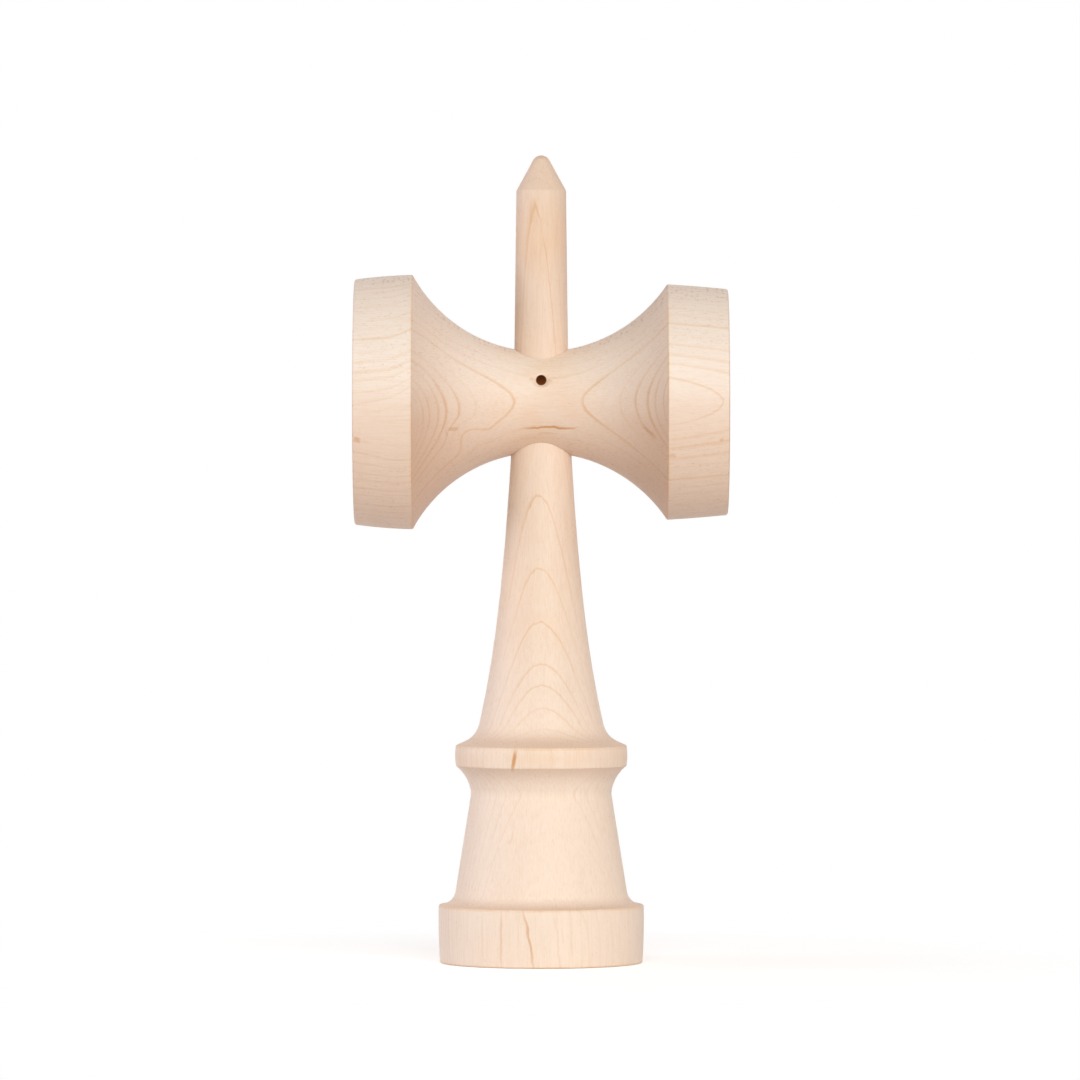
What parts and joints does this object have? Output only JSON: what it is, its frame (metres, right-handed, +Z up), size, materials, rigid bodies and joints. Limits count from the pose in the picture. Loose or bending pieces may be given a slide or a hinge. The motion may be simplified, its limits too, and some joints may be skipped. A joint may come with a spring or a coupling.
{
  "type": "kendama",
  "caption": "Plain wooden kendama: turned handle with spike, collar and cupped base, carrying a waisted cross piece with a cup at each end that lifts off over the spike.",
  "frame": {"origin": "centre of the base's foot, on the surface that the handle stands on", "axes": "+Z up the handle to the spike's tip, +X along the cross piece to its small cup, -Y to the side that the picture shows"},
  "size_m": [0.0776, 0.053, 0.168],
  "materials": {
    "handle_maple": "bare maple, finely sanded, grain along the handle",
    "cross_piece_maple": "bare maple, finely sanded, grain along the cross piece"
  },
  "bodies": {
    "handle": {"handle": "handle_maple"},
    "cross_piece": {"cross_piece": "cross_piece_maple"}
  },
  "joints": [
    {"name": "cross_piece_lift", "type": "slide", "parent": "handle", "child": "cross_piece", "axis": [0, 0, 1], "range_m": [0, 0.08]}
  ]
}
